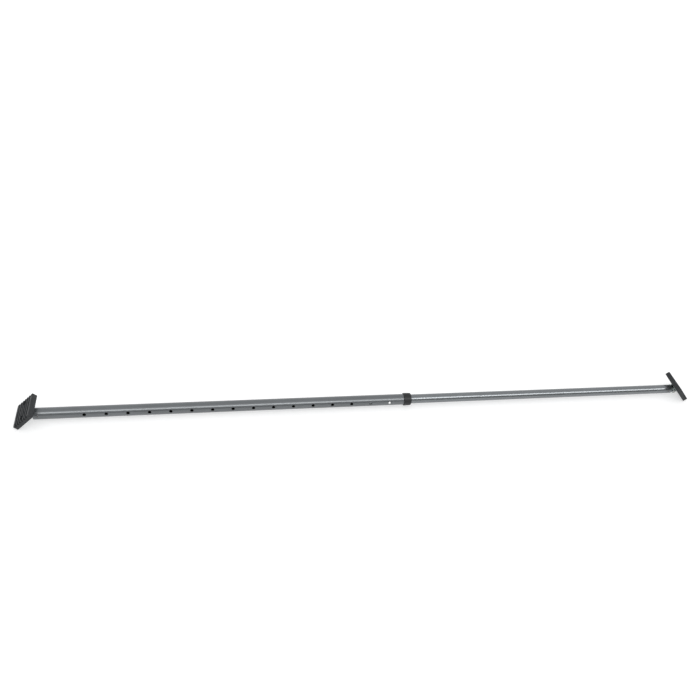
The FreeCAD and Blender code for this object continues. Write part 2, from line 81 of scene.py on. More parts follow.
def high_x(node):
    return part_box(node)[1].x


def on_bar(x):
    """The bar's axis at x, turned so that its -Y points out through the row of button holes."""
    return Matrix.Translation((x, 0, AXIS_Z)) @ Matrix.Rotation(-ROW_ANGLE, 4, "X")


def at_pivot(side):
    """A foot's pivot, with +X towards the middle of the bar."""
    turn = 0 if side == "left" else math.pi
    return Matrix.Translation(PIVOT[side]) @ Matrix.Rotation(turn, 4, "Z")


def on_foot(side):
    """A foot's pivot, leaning with the pad, which lies on the -X side."""
    return at_pivot(side) @ Matrix.Rotation(LEAN, 4, "Y")


TO_Y = Matrix.Rotation(math.pi / 2, 4, "Z")
OUTWARD = Matrix.Rotation(-math.pi / 2, 4, "Z")

# ---- sizes, in millimetres ----

OUTER_R, OUTER_BORE = 14.3, 12.7
INNER_R, INNER_BORE = 12.2, 10.6
HOLE_R, HOLE_PITCH, HOLE_COUNT, FIRST_HOLE = 3.75, 50.8, 16, 117.0
SLOT_START, SLOT_TRAVEL = 72.0, 50.8
PIN_R, PIN_BORE, PIN_SLIT, PIN_INSET = 2.5, 1.5, 1.0, 11.0
RIM_CHAMFER, TUBE_EDGE = 0.13, 0.3  # the first is a share of the hole's radius
TUBE_STEPS, LONGEST_STEP = 96, 10.0
PATCH_HALF_STEPS, PATCH_HALF_LENGTH, PATCH_STEP, PATCH_RINGS = 8, 6.5, 2.0, (0.34, 0.67, 1.0)
COLLAR_LENGTH, COLLAR_R, COLLAR_BORE, COLLAR_COVER = 20.5, 17.0, 12.5, 14.0
PLUG_START, PLUG_END, PLUG_EDGE, PLUG_PLAY = 1.0, 20.0, 0.6, 0.05
TONGUE_HALF, TONGUE_R, TONGUE_HOLE_R, TONGUE_EDGE = 4.5, 6.4, 3.08, 0.5
EAR, EAR_GAP, EAR_R, EAR_EDGE, EAR_STEP = 2.5, 11.0, 6.8, 0.3, 2.2
WELD_R, WELD_RIPPLE, WELD_PITCH = 1.05, 0.10, 1.6
PLATE_Y, PLATE_Z, PLATE_X, PLATE_CORNER, PLATE_HOLE_R = 62.0, 26.0, 2.0, 4.0, 2.65
BOLT_R, BOLT_LENGTH, BOLT_PLAIN, BOLT_PITCH = 3.0, 23.0, 14.0, 1.0
HEX_ACROSS, HEAD_HEIGHT, NUT_HEIGHT = 10.0, 4.0, 5.0
CROWN_FOOT, INSERT_R, INSERT_START, INSERT_END = 3.3, 3.7, 4.2, 4.85
WASHER_R, WASHER_THICKNESS, WASHER_PLAY = 6.0, 0.8, 0.05
PAD_Y, PAD_Z, PAD_X, PAD_BACK, PAD_CORNER, PAD_EDGE = 72.0, 60.0, 12.7, 7.0, 3.5, 0.9
RIBS, RIB_PITCH, RIB_ROUND = 7, 8.0, 0.75
GROOVE_MOUTH, GROOVE_FLOOR, GROOVE_DEPTH, GROOVE_ROUND = 4.6, 2.8, 3.4, 0.6
SCREW_Y, RECESS_R, RECESS_DEPTH, RECESS_EDGE = 23.0, 6.0, 6.0, 0.6
SCREW_R, SCREW_PITCH, SCREW_PLAIN = 2.5, 0.8, 3.0
PAN_R, PAN_WALL, PAN_HEIGHT, PAN_ANGLE, PAN_FALL = 4.75, 1.0, 3.0, 66, 0.42
CROSS_ARM, CROSS_TIP, CROSS_FLOOR, CROSS_TAPER = 0.55, 2.5, 1.2, 0.62
BUTTON_R, BUTTON_TIP, BUTTON_DOME = 3.45, 16.9, 2.3
FLANGE_R, FLANGE_TOP, FLANGE_HEIGHT, FLANGE_EDGE = 4.75, 9.2, 1.3, 0.2
SPRING_SEAT, SPRING_PLAY = -4.2, 0.3
CIRCLE_STEPS, BEVEL_ABOVE = 48, 40


# ---- mesh helpers ----

def loop_faces(bm, first, second):
    """Quads between two closed loops of the same length."""
    count = len(first)
    for i in range(count):
        j = (i + 1) % count
        bm.faces.new((first[i], first[j], second[j], second[i]))


def closed_skin(bm, loops):
    """Faces from each loop to the next, and a cap on each end."""
    for a, b in zip(loops, loops[1:]):
        loop_faces(bm, a, b)
    bm.faces.new(loops[0])
    bm.faces.new(loops[-1])
    bmesh.ops.recalc_face_normals(bm, faces=bm.faces)
    return bm


def lathe(section, steps=64):
    """A solid turned about X from a closed section of (x, radius) corners."""
    bm = bmesh.new()
    rings = []
    for x, r in section:
        if r < 1e-6:
            rings.append([bm.verts.new((x, 0, 0))])
            continue
        angles = [2 * math.pi * i / steps for i in range(steps)]
        rings.append([bm.verts.new((x, r * math.cos(a), r * math.sin(a))) for a in angles])
    for a, b in zip(rings, rings[1:] + rings[:1]):
        if len(a) == len(b) == 1:
            continue
        for i in range(steps):
            j = (i + 1) % steps
            corners = [a[i % len(a)], a[j % len(a)], b[j % len(b)], b[i % len(b)]]
            bm.faces.new(list(dict.fromkeys(corners)))
    bmesh.ops.recalc_face_normals(bm, faces=bm.faces)
    return bm


def stack(levels, axis="X"):
    """A solid through outlines with the same number of points, each at its level along an axis."""
    bm = bmesh.new()
    loops = []
    for level, outline in levels:
        if axis == "X":
            points = [(level, u, v) for u, v in outline]
        else:
            points = [(u, level, v) for u, v in outline]
        loops.append([bm.verts.new(p) for p in points])
    return closed_skin(bm, loops)


def arc(cx, cy, r, start, end, steps):
    """Points on an arc, angles in degrees."""
    out = []
    for i in range(steps + 1):
        a = math.radians(start + (end - start) * i / steps)
        out.append((cx + r * math.cos(a), cy + r * math.sin(a)))
    return out


def rounded(width, height, radius, steps=6):
    """A centred rectangle with round corners."""
    x, y = width / 2 - radius, height / 2 - radius
    return (arc(x, y, radius, 0, 90, steps) + arc(-x, y, radius, 90, 180, steps)
            + arc(-x, -y, radius, 180, 270, steps) + arc(x, -y, radius, 270, 360, steps))


def filleted(corners, steps=3):
    """An outline of (x, y, radius) corners, each rounded by its radius."""
    out = []
    count = len(corners)
    for i, (x, y, radius) in enumerate(corners):
        here = Vector((x, y))
        if radius <= 0:
            out.append((x, y))
            continue
        before = (Vector(corners[i - 1][:2]) - here).normalized()
        after = (Vector(corners[(i + 1) % count][:2]) - here).normalized()
        half = before.angle(after) / 2
        reach = radius / math.tan(half)
        start, end = here + before * reach, here + after * reach
        centre = here + (before + after).normalized() * (radius / math.sin(half))
        a, b = start - centre, end - centre
        for k in range(steps + 1):
            turned = a.slerp(b, k / steps) if a.angle(b) > 1e-4 else a
            out.append(tuple(centre + turned))
    return out


def hexagon(across):
    r = across / 2 / math.cos(math.pi / 6)
    angles = [math.radians(60 * i) for i in range(6)]
    return [(r * math.cos(a), r * math.sin(a)) for a in angles]


def circle(radius):
    return arc(0, 0, radius, 0, 360 - 360 / CIRCLE_STEPS, CIRCLE_STEPS - 1)


def bevel(bm, width):
    """Round off every edge that turns by more than BEVEL_ABOVE degrees."""
    least = math.radians(BEVEL_ABOVE)
    sharp = [e for e in bm.edges if len(e.link_faces) == 2 and e.calc_face_angle() > least]
    bmesh.ops.bevel(bm, geom=sharp, offset=width, segments=2, profile=0.5, affect="EDGES", clamp_overlap=True)
    return bm


def moved(bm, x=0.0, y=0.0, turn=None):
    """Turn a mesh about its origin, then shift it."""
    if turn is not None:
        bm.transform(turn)
    bm.transform(Matrix.Translation((x, y, 0)))
    return bm


def joined(*parts):
    """Separate closed shells as one mesh."""
    out = bmesh.new()
    for bm in parts:
        mesh = bpy.data.meshes.new("joined")
        bm.to_mesh(mesh)
        out.from_mesh(mesh)
        bpy.data.meshes.remove(mesh)
        bm.free()
    return out


def in_scene(name, bm):
    """A new object in the scene from a mesh, which is freed."""
    mesh = bpy.data.meshes.new(name)
    bm.to_mesh(mesh)
    bm.free()
    item = bpy.data.objects.new(name, mesh)
    bpy.context.scene.collection.objects.link(item)
    return item


def boolean(bm, tool, operation="DIFFERENCE"):
    """One solid cut by, kept within or joined with another."""
    base, other = in_scene("boolean_base", bm), in_scene("boolean_tool", tool)
    modifier = base.modifiers.new("boolean", "BOOLEAN")
    modifier.operation, modifier.object, modifier.solver = operation, other, "EXACT"
    graph = bpy.context.evaluated_depsgraph_get()
    mesh = bpy.data.meshes.new_from_object(base.evaluated_get(graph))
    out = bmesh.new()
    out.from_mesh(mesh)
    for item in (base, other):
        old = item.data
        bpy.data.objects.remove(item)
        bpy.data.meshes.remove(old)
    bpy.data.meshes.remove(mesh)
    bmesh.ops.dissolve_degenerate(out, dist=1e-4, edges=out.edges)
    return out


def drilled(bm, radius, length, x=0.0, y=0.0, axis="X"):
    """A round hole through a point along an axis."""
    tool = stack([(-length / 2, circle(radius)), (length / 2, circle(radius))], axis)
    return boolean(bm, moved(tool, x, y))


def piece(name, bm, place, finish, *nodes, smooth=35, body=None, slot=None):
    """Put a mesh in place as a piece that stands for CAD nodes and rides on their body."""
    bm.transform(place @ Matrix.Scale(MM, 4))
    item = in_scene(name, bm)
    item.data.materials.append(finish)
    for face in item.data.polygons:
        face.use_smooth = True
    item.data.set_sharp_from_angle(angle=math.radians(smooth))
    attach(item, body or body_of_node[nodes[0]])
    if nodes:
        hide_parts(*nodes)
    return item


# ---- materials ----

SKIN_FADE = (0.5015, 0.505)
# painted shade: a near-black colour for everything within a tube's skin, standing in for the shade in its bore and
# holes
BORE_PAINTED_SHADE = (0.006, 0.006, 0.0065)


class Finish:
    """A material whose colour, roughness and relief come from noise in the object's own coordinates."""

    def __init__(self, name, **constants):
        self.material = bpy.data.materials.new(name)
        self.material.use_nodes = True
        self.tree = self.material.node_tree
        self.shader = self.tree.nodes["Principled BSDF"]
        self.coordinates = self.tree.nodes.new("ShaderNodeTexCoord").outputs["Object"]
        self.normal = None
        for socket, value in constants.items():
            self.shader.inputs[socket.replace("_", " ")].default_value = value

    def noise(self, scale, detail=4.0, roughness=0.55, stretch=(1, 1, 1)):
        mapping = self.tree.nodes.new("ShaderNodeMapping")
        mapping.inputs["Scale"].default_value = stretch
        texture = self.tree.nodes.new("ShaderNodeTexNoise")
        texture.inputs["Scale"].default_value = scale
        texture.inputs["Detail"].default_value = detail
        texture.inputs["Roughness"].default_value = roughness
        self.tree.links.new(self.coordinates, mapping.inputs["Vector"])
        self.tree.links.new(mapping.outputs["Vector"], texture.inputs["Vector"])
        return texture.outputs["Fac"]

    def skin(self, radius):
        """One on the outside of a tube round the bar's axis, and nothing within its wall, radius in metres.
        The gradient is 0.5 at the radius and rises inwards."""
        mapping = self.tree.nodes.new("ShaderNodeMapping")
        mapping.inputs["Scale"].default_value = (0, 0.5 / radius, 0.5 / radius)
        mapping.inputs["Location"].default_value = (0, 0, -0.5 * AXIS_Z / radius)
        texture = self.tree.nodes.new("ShaderNodeTexGradient")
        texture.gradient_type = "SPHERICAL"
        self.tree.links.new(self.coordinates, mapping.inputs["Vector"])
        self.tree.links.new(mapping.outputs["Vector"], texture.inputs["Vector"])
        return self.between(texture.outputs["Fac"], 1.0, 0.0, *SKIN_FADE)

    def ramp(self, value, *stops):
        node = self.tree.nodes.new("ShaderNodeValToRGB")
        elements = node.color_ramp.elements
        while len(elements) < len(stops):
            elements.new(0.5)
        for element, (place, colour) in zip(elements, stops):
            element.position = place
            element.color = (*colour, 1)
        self.tree.links.new(value, node.inputs["Fac"])
        return node.outputs["Color"]

    def blend(self, kind, factor, one, two):
        node = self.tree.nodes.new("ShaderNodeMix")
        node.data_type, node.blend_type = "RGBA", kind
        if isinstance(factor, float):
            node.inputs[0].default_value = factor
        else:
            self.tree.links.new(factor, node.inputs[0])
        for socket, value in ((node.inputs[6], one), (node.inputs[7], two)):
            if isinstance(value, tuple):
                socket.default_value = (*value, 1)
            else:
                self.tree.links.new(value, socket)
        return node.outputs[2]

    def between(self, value, low, high, start=0.3, end=0.7):
        node = self.tree.nodes.new("ShaderNodeMapRange")
        for socket, number in zip(("From Min", "From Max", "To Min", "To Max"), (start, end, low, high)):
            node.inputs[socket].default_value = number
        self.tree.links.new(value, node.inputs["Value"])
        return node.outputs["Result"]

    def colour(self, value):
        self.tree.links.new(value, self.shader.inputs["Base Color"])

    def roughness(self, value):
        self.tree.links.new(value, self.shader.inputs["Roughness"])

    def relief(self, height, strength, distance):
        node = self.tree.nodes.new("ShaderNodeBump")
        node.inputs["Strength"].default_value = strength
        node.inputs["Distance"].default_value = distance
        self.tree.links.new(height, node.inputs["Height"])
        if self.normal is not None:
            self.tree.links.new(self.normal, node.inputs["Normal"])
        self.normal = node.outputs["Normal"]
        self.tree.links.new(self.normal, self.shader.inputs["Normal"])


def shade(colour, factor):
    return tuple(c * factor for c in colour)


def grey(level):
    return (level, level, level)


def paint(name, colour, metallic, gloss, scuffs, peel, radius):
    """Semi-gloss metallic paint: fine flake, orange peel, and faint lengthwise rubs from the sliding tubes.
    It stops at the tube's skin; within it, the bore, the walls of the holes and the tube ends get a painted
    near-black shade."""
    made = Finish(name, Metallic=metallic, IOR=1.5, Coat_Weight=0.35, Coat_Roughness=0.16)
    cloud = made.ramp(made.noise(14, 3), (0.3, shade(colour, 0.93)), (0.7, shade(colour, 1.06)))
    flake = made.ramp(made.noise(5200, 1, 0.4), (0.40, grey(0.86)), (0.62, (1.14, 1.14, 1.15)))
    base = made.blend("MULTIPLY", 1.0, cloud, flake)
    rubs = made.noise(30, 5, 0.6, (0.12, 24, 24))
    mask = made.ramp(rubs, (0.60, grey(0)), (0.72, grey(scuffs)))
    painted = made.blend("MIX", mask, base, shade(colour, 1.5))
    skin = made.skin(radius * MM)
    # painted shade: the colour turns near-black within the skin, in the bore, the hole walls and the tube ends
    made.colour(made.blend("MIX", skin, BORE_PAINTED_SHADE, painted))
    made.roughness(made.between(made.noise(55, 4, 0.6, (0.3, 3, 3)), *gloss))
    made.relief(made.noise(620, 2, 0.5), peel, 0.0001)
    made.relief(rubs, peel / 2, 0.0001)
    return made.material


def moulded(name, colour, gloss, grain, strength, ior):
    """Moulded plastic or rubber: a stippled skin, cloudy colour and a dusting of paler bloom."""
    made = Finish(name, IOR=ior)
    cloud = made.ramp(made.noise(38, 5, 0.6), (0.3, shade(colour, 0.78)), (0.7, shade(colour, 1.25)))
    dust = made.ramp(made.noise(420, 4, 0.7), (0.52, grey(0)), (0.78, grey(0.22)))
    made.colour(made.blend("MIX", dust, cloud, shade(colour, 2.6)))
    made.roughness(made.between(made.noise(90, 4), *gloss))
    made.relief(made.noise(grain, 3, 0.6), strength, 0.0002)
    made.relief(made.noise(60, 3), 0.12, 0.0003)
    return made.material


def plated(name, cool, warm, gloss, grain=(1, 1, 1)):
    """Zinc or bare steel: drawn or rolled grain, with a faint tint that drifts over the surface."""
    made = Finish(name, Metallic=1.0)
    tint = made.ramp(made.noise(75, 4, 0.6), (0.32, cool), (0.68, warm))
    spots = made.ramp(made.noise(900, 3, 0.6), (0.35, grey(0.72)), (0.6, grey(1.0)))
    made.colour(made.blend("MULTIPLY", 0.55, tint, spots))
    streaks = made.noise(260, 4, 0.65, grain)
    made.roughness(made.between(streaks, *gloss))
    made.relief(streaks, 0.12, 0.0001)
    return made.material


finishes = {
    "outer_paint": paint("outer_paint_grey", (0.149, 0.159, 0.166), metallic=0.42, gloss=(0.29, 0.36),
                         scuffs=0.10, peel=0.10, radius=OUTER_R),
    "inner_paint": paint("inner_paint_grey", (0.193, 0.206, 0.214), metallic=0.72, gloss=(0.22, 0.26),
                         scuffs=0.08, peel=0.03, radius=INNER_R),
    "collar_plastic": moulded("collar_black", (0.0128, 0.0140, 0.0152), (0.42, 0.56), 1500, 0.35, 1.42),
    "glide_plastic": moulded("glide_black", (0.028, 0.028, 0.029), (0.36, 0.48), 900, 0.15, 1.48),
    "carrier_plastic": moulded("carrier_natural", (0.62, 0.60, 0.54), (0.34, 0.46), 800, 0.12, 1.53),
    "button_steel": plated("button_bright", (0.82, 0.83, 0.85), (0.87, 0.86, 0.83), (0.10, 0.18)),
    "spring_steel": plated("spring_wire", (0.36, 0.37, 0.39), (0.46, 0.45, 0.42), (0.25, 0.40), (0.2, 2, 2)),
    "plug_steel": plated("stop_turned", (0.48, 0.49, 0.51), (0.56, 0.55, 0.52), (0.28, 0.42), (4, 0.3, 0.3)),
    "pin_steel": plated("pin_oiled", (0.24, 0.24, 0.25), (0.33, 0.32, 0.30), (0.28, 0.42)),
    "zinc_plate": plated("bracket_zinc", (0.36, 0.42, 0.42), (0.48, 0.51, 0.49), (0.26, 0.42), (1, 0.35, 1)),
    "fastener_zinc": plated("fastener_zinc", (0.30, 0.33, 0.35), (0.42, 0.42, 0.39), (0.22, 0.36)),
    "screw_black": plated("screw_black_oxide", (0.045, 0.046, 0.05), (0.075, 0.074, 0.072), (0.32, 0.46)),
    "pad_rubber": moulded("pad_black_rubber", (0.0170, 0.0195, 0.0220), (0.50, 0.68), 1300, 0.55, 1.45),
}


# ---- tubes ----

def tube(length, radius, bore, openings):
    """A round tube along X. Each opening is (x, turn, radius, travel): a straight drilled hole, or a slot
    along X, through one wall, at an angle measured from -Y. The grid gives way to rings round each opening,
    and openings at the same x share their lines."""
    bm = bmesh.new()
    lines, patches = {TUBE_EDGE, length - TUBE_EDGE}, []
    for x, turn, hole, travel in openings:
        start, end = x - PATCH_HALF_LENGTH, x + travel + PATCH_HALF_LENGTH
        count = max(8, round((end - start) / PATCH_STEP))
        lines |= {round(start + (end - start) * k / count, 5) for k in range(count + 1)}
        patches.append((round(start, 5), round(end, 5), x, turn, hole, travel))
    ordered = sorted(lines)
    for a, b in zip(ordered[:-1], ordered[1:]):
        parts = math.ceil((b - a) / LONGEST_STEP)
        lines |= {round(a + (b - a) * k / parts, 5) for k in range(1, parts)}
    lines = sorted(lines)
    index = {x: i for i, x in enumerate(lines)}

    def point(x, angle, r):
        return (x, -r * math.cos(angle), r * math.sin(angle))

    def angle_of(step):
        return 2 * math.pi * step / TUBE_STEPS

    skipped = set()
    for start, end, _, turn, _, _ in patches:
        first = round(turn / (2 * math.pi) * TUBE_STEPS) - PATCH_HALF_STEPS
        for i in range(index[start], index[end]):
            skipped |= {(i, (first + k) % TUBE_STEPS) for k in range(2 * PATCH_HALF_STEPS)}
    grids = []
    for r in (radius, bore):
        grid = [[bm.verts.new(point(x, angle_of(s), r)) for s in range(TUBE_STEPS)] for x in lines]
        grids.append(grid)
        for i in range(len(lines) - 1):
            for s in range(TUBE_STEPS):
                if (i, s) not in skipped:
                    t = (s + 1) % TUBE_STEPS
                    bm.faces.new((grid[i][s], grid[i][t], grid[i + 1][t], grid[i + 1][s]))
    for i, x in ((0, 0.0), (-1, length)):
        rings = [[bm.verts.new(point(x, angle_of(s), r)) for s in range(TUBE_STEPS)]
                 for r in (radius - TUBE_EDGE, bore + TUBE_EDGE)]
        loop_faces(bm, grids[0][i], rings[0])
        loop_faces(bm, rings[0], rings[1])
        loop_faces(bm, rings[1], grids[1][i])
    for start, end, x, turn, hole, travel in patches:
        middle = round(turn / (2 * math.pi) * TUBE_STEPS)
        i0, i1 = index[start], index[end]
        s0, s1 = middle - PATCH_HALF_STEPS, middle + PATCH_HALF_STEPS
        border = ([(i, s0) for i in range(i0, i1)] + [(i1, s) for s in range(s0, s1)]
                  + [(i, s1) for i in range(i1, i0, -1)] + [(i0, s) for s in range(s1, s0, -1)])
        out = Vector((0, -math.cos(turn), math.sin(turn)))
        across = Vector((0, math.sin(turn), math.cos(turn)))
        chamfer = hole * RIM_CHAMFER

        def from_slot(i, s, r):
            """A grid point seen from the opening's middle, and the way to it from the slot's centre line."""
            u, angle = lines[i] - x, angle_of(s) - turn
            centre = min(max(u, 0.0), travel)
            return u, angle, centre, Vector((u - centre, r * angle)).normalized()

        rims = []
        for r, rim in ((radius, hole + chamfer), (bore, hole)):
            grid = grids[0] if r == radius else grids[1]
            loops = [[grid[i][s % TUBE_STEPS] for i, s in border]]
            for share in PATCH_RINGS:
                ring = []
                for i, s in border:
                    u, angle, centre, way = from_slot(i, s, r)
                    rim_x, rim_angle = centre + rim * way.x, math.asin(rim * way.y / r)
                    at_x, at_angle = u + (rim_x - u) * share, angle + (rim_angle - angle) * share
                    ring.append(bm.verts.new(point(x + at_x, turn + at_angle, r)))
                loops.append(ring)
            for a, b in zip(loops, loops[1:]):
                loop_faces(bm, a, b)
            rims.append(loops[-1])
        lip = []
        for i, s in border:
            _, _, centre, way = from_slot(i, s, radius)
            rise = math.sqrt(radius ** 2 - (hole * way.y) ** 2) - chamfer
            at = out * rise + across * (hole * way.y)
            lip.append(bm.verts.new((x + centre + hole * way.x, at.y, at.z)))
        loop_faces(bm, rims[0], lip)
        loop_faces(bm, lip, rims[1])
    bmesh.ops.recalc_face_normals(bm, faces=bm.faces)
    return bm


def make_tubes():
    length = (high_x("outer_tube") - low_x("outer_tube")) / MM
    holes = [(FIRST_HOLE + HOLE_PITCH * k, 0.0, HOLE_R, 0.0) for k in range(HOLE_COUNT)]
    pins = [(PIN_INSET, turn, PIN_R, 0.0) for turn in (0.0, math.pi)]
    piece("outer_tube_shell", tube(length, OUTER_R, OUTER_BORE, pins + holes), on_bar(low_x("outer_tube")),
          finishes["outer_paint"], "outer_tube")
    length = (high_x("inner_tube") - low_x("inner_tube")) / MM
    pins = [(length - PIN_INSET, turn, PIN_R, 0.0) for turn in (0.0, math.pi)]
    slot = [(SLOT_START, 0.0, HOLE_R, SLOT_TRAVEL)]
    piece("inner_tube_shell", tube(length, INNER_R, INNER_BORE, slot + pins), on_bar(low_x("inner_tube")),
          finishes["inner_paint"], "inner_tube")


def make_collar():
    end = COLLAR_LENGTH
    section = filleted([
        (0, OUTER_R, 0.2), (0, COLLAR_R, 1.3), (end, COLLAR_R, 1.9), (end, COLLAR_BORE, 0.7),
        (COLLAR_COVER, COLLAR_BORE, 0.1), (COLLAR_COVER, OUTER_R, 0.1),
    ], steps=5)
    body = lathe(section, steps=128)
    piece("collar_moulding", body, on_bar(low_x("tube_collar")), finishes["collar_plastic"], "tube_collar")


# ---- snap button and springs ----

def make_button():
    start = BUTTON_TIP - BUTTON_DOME
    dome = [(start + BUTTON_DOME * math.sin(a), BUTTON_R * math.cos(a))
            for a in (math.radians(90 * k / 10) for k in range(10))]
    bottom = FLANGE_TOP - FLANGE_HEIGHT
    edge = FLANGE_EDGE
    section = [(bottom, 0), (bottom, FLANGE_R - edge), (bottom + edge, FLANGE_R),
               (FLANGE_TOP - edge, FLANGE_R), (FLANGE_TOP, FLANGE_R - edge), (FLANGE_TOP, BUTTON_R),
               *dome, (BUTTON_TIP, 0)]
    hole_x = low_x("outer_tube") + (FIRST_HOLE + HOLE_PITCH * (HOLE_COUNT - 1)) * MM
    piece("snap_button_pin", lathe(section, 48), on_bar(hole_x) @ OUTWARD, finishes["button_steel"],
          "snap_button")
    return hole_x


def coil(mean, wire, start, end, turns, steps=32, sides=12):
    """A round-wire compression spring about X with one closed turn at each end."""
    bm = bmesh.new()
    first, last = start + wire, end - wire
    dead = 2 * wire
    live = (last - first - 2 * dead) / (turns - 2)
    angles = [2 * math.pi * i / sides for i in range(sides)]
    rings = []
    for k in range(turns * steps + 1):
        t = k / steps
        if t < 1:
            x = first + dead * t
        elif t > turns - 1:
            x = last - dead * (turns - t)
        else:
            x = first + dead + live * (t - 1)
        a = 2 * math.pi * t
        out = Vector((0, math.cos(a), math.sin(a)))
        rings.append([bm.verts.new(out * (mean + wire * math.cos(b)) + Vector((x + wire * math.sin(b), 0, 0)))
                      for b in angles])
    return closed_skin(bm, rings)


def make_springs(hole_x):
    low, high = low_x("take_up_spring"), high_x("take_up_spring")
    wound = coil(mean=8.6, wire=1.1, start=0.0, end=(high - low) / MM, turns=15)
    spring = piece("take_up_spring_coil", wound, on_bar(low), finishes["spring_steel"], "take_up_spring")
    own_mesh(spring)
    seat, top = SPRING_SEAT + SPRING_PLAY, FLANGE_TOP - FLANGE_HEIGHT - SPRING_PLAY
    wound = coil(mean=4.0, wire=0.4, start=seat, end=top, turns=5, steps=28, sides=10)
    spring = piece("button_spring_coil", wound, on_bar(hole_x) @ OUTWARD, finishes["spring_steel"],
                   "button_spring")
    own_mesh(spring)


# ---- end plugs and cross pins ----

def make_plug(side):
    """An end plug with its tongue, and the slit spring pin that holds it in its tube."""
    if side == "left":
        bore, radius, turned = OUTER_BORE, OUTER_R, -ROW_ANGLE
        tube_end = (low_x("outer_tube") - PIVOT["left"].x) / MM
    else:
        bore, radius, turned = INNER_BORE, INNER_R, ROW_ANGLE
        tube_end = (PIVOT["right"].x - high_x("inner_tube")) / MM
    turn = Matrix.Rotation(turned, 4, "X")
    pin_x = tube_end + PIN_INSET
    near, far, r = tube_end + PLUG_START, tube_end + PLUG_END, bore - PLUG_PLAY
    plug = lathe([(near, 0), (near, r - PLUG_EDGE), (near + PLUG_EDGE, r), (far - 0.8, r), (far, r - 0.8),
                  (far, 0)], 96)
    reach = near + 1.0
    outline = arc(0, 0, TONGUE_R, 90, 270, 20) + [(reach, -TONGUE_R), (reach, TONGUE_R)]
    tongue = bevel(stack([(-TONGUE_HALF, outline), (TONGUE_HALF, outline)], "Y"), TONGUE_EDGE)
    body = drilled(boolean(plug, tongue, "UNION"), TONGUE_HOLE_R, 30, axis="Y")
    hole = stack([(-20, circle(PIN_R)), (20, circle(PIN_R))], "Y")
    body = boolean(body, moved(hole, pin_x, turn=turn))
    piece(f"{side}_plug_and_tongue", body, at_pivot(side), finishes["zinc_plate"], f"{side}_end_plug")

    def slit_ring(outer_r):
        slit = math.degrees(math.asin(PIN_SLIT / 2 / PIN_R))
        inside = math.degrees(math.asin(PIN_SLIT / 2 / PIN_BORE))
        return arc(0, 0, outer_r, slit, 360 - slit, 40) + arc(0, 0, PIN_BORE, 360 - inside, inside, 36)

    end, edge = radius - 0.2, 0.25
    pin = stack([(-end, slit_ring(PIN_R - edge)), (edge - end, slit_ring(PIN_R)),
                 (end - edge, slit_ring(PIN_R)), (end, slit_ring(PIN_R - edge))], "Y")
    piece(f"{side}_spring_pin", moved(pin, pin_x, turn=turn), at_pivot(side), finishes["pin_steel"],
          f"{side}_cross_pin")


# ---- feet ----

def weld(length):
    """A rippled weld bead along Z, with round ends."""
    bm = bmesh.new()
    rings = []
    steps, sides = 66, 10
    angles = [2 * math.pi * i / sides for i in range(sides)]
    for k in range(steps + 1):
        t = k / steps
        end = math.sqrt(max(0.0, 1 - abs(2 * t - 1) ** 8))
        ripple = 1 + WELD_RIPPLE * math.cos(2 * math.pi * t * length / WELD_PITCH)
        r = WELD_R * max(0.15, end) * ripple
        rings.append([bm.verts.new((r * math.cos(b), r * math.sin(b), (t - 0.5) * length)) for b in angles])
    return closed_skin(bm, rings)


def make_bracket(side):
    """A plate that the pad is screwed to, with two ears for the pivot bolt and their welds."""
    back = -PAD_BACK
    plate = stack([
        (back - PLATE_X, rounded(PLATE_Y - 0.4, PLATE_Z - 0.4, PLATE_CORNER - 0.2)),
        (back - PLATE_X + 0.3, rounded(PLATE_Y, PLATE_Z, PLATE_CORNER)),
        (back - 0.4, rounded(PLATE_Y, PLATE_Z, PLATE_CORNER)),
        (back, rounded(PLATE_Y - 0.8, PLATE_Z - 0.8, PLATE_CORNER - 0.4)),
    ])
    for sign in (-1, 1):
        plate = drilled(plate, PLATE_HOLE_R, 10, x=back, y=sign * SCREW_Y)
    foot = PLATE_Z / 2 - 2
    tangent = math.degrees(math.atan2(foot - EAR_R, PAD_BACK))
    outline = arc(0, 0, EAR_R, -90 - tangent * 0.4, 90 + tangent * 0.4, 28)
    outline += filleted([(back + EAR_STEP, foot - 1.4, 1.0), (back - 0.2, foot, 0), (back - 0.2, -foot, 0),
                         (back + EAR_STEP, 1.4 - foot, 1.0)])
    parts = [plate]
    for sign in (-1, 1):
        near, far = sorted((sign * EAR_GAP / 2, sign * (EAR_GAP / 2 + EAR)))
        ear = bevel(stack([(near, outline), (far, outline)], "Y"), EAR_EDGE)
        parts.append(drilled(ear, BOLT_R, 6, y=(near + far) / 2, axis="Y"))
        parts.append(moved(weld(2 * foot - 3), back, sign * (EAR_GAP / 2 + EAR)))
    piece(f"{side}_bracket_plate_and_ears", joined(*parts), on_foot(side), finishes["zinc_plate"],
          f"{side}_bracket")


def hex_blank(height, both_ends=False):
    """A hexagon along +X with its corners turned off at the far end, or at both."""
    corner = HEX_ACROSS / 2 / math.cos(math.pi / 6) + 0.1
    flat = HEX_ACROSS / 2 * 0.95
    drop = (corner - flat) * math.tan(math.radians(30))
    section = [(-0.01, 0)]
    section += [(-0.01, flat), (drop, corner)] if both_ends else [(-0.01, corner)]
    section += [(height - drop, corner), (height, flat), (height, 0)]
    prism = stack([(0, hexagon(HEX_ACROSS)), (height + 0.01, hexagon(HEX_ACROSS))])
    return boolean(prism, lathe(section, 96), "INTERSECT")


def threaded(radius, start, end, pitch, plain):
    """A shank along X, plain at first and then with thread crests, and a chamfered end."""
    root = radius - 0.55 * pitch * 0.62
    section = [(start, 0), (start, radius), (plain, radius)]
    x = plain
    while x + pitch < end - 0.4:
        section += [(x + pitch * 0.35, root), (x + pitch * 0.5, root), (x + pitch * 0.85, radius),
                    (x + pitch, radius)]
        x += pitch
    section += [(end - 0.5, radius), (end, radius - 0.5), (end, 0)]
    return lathe(section, 48)


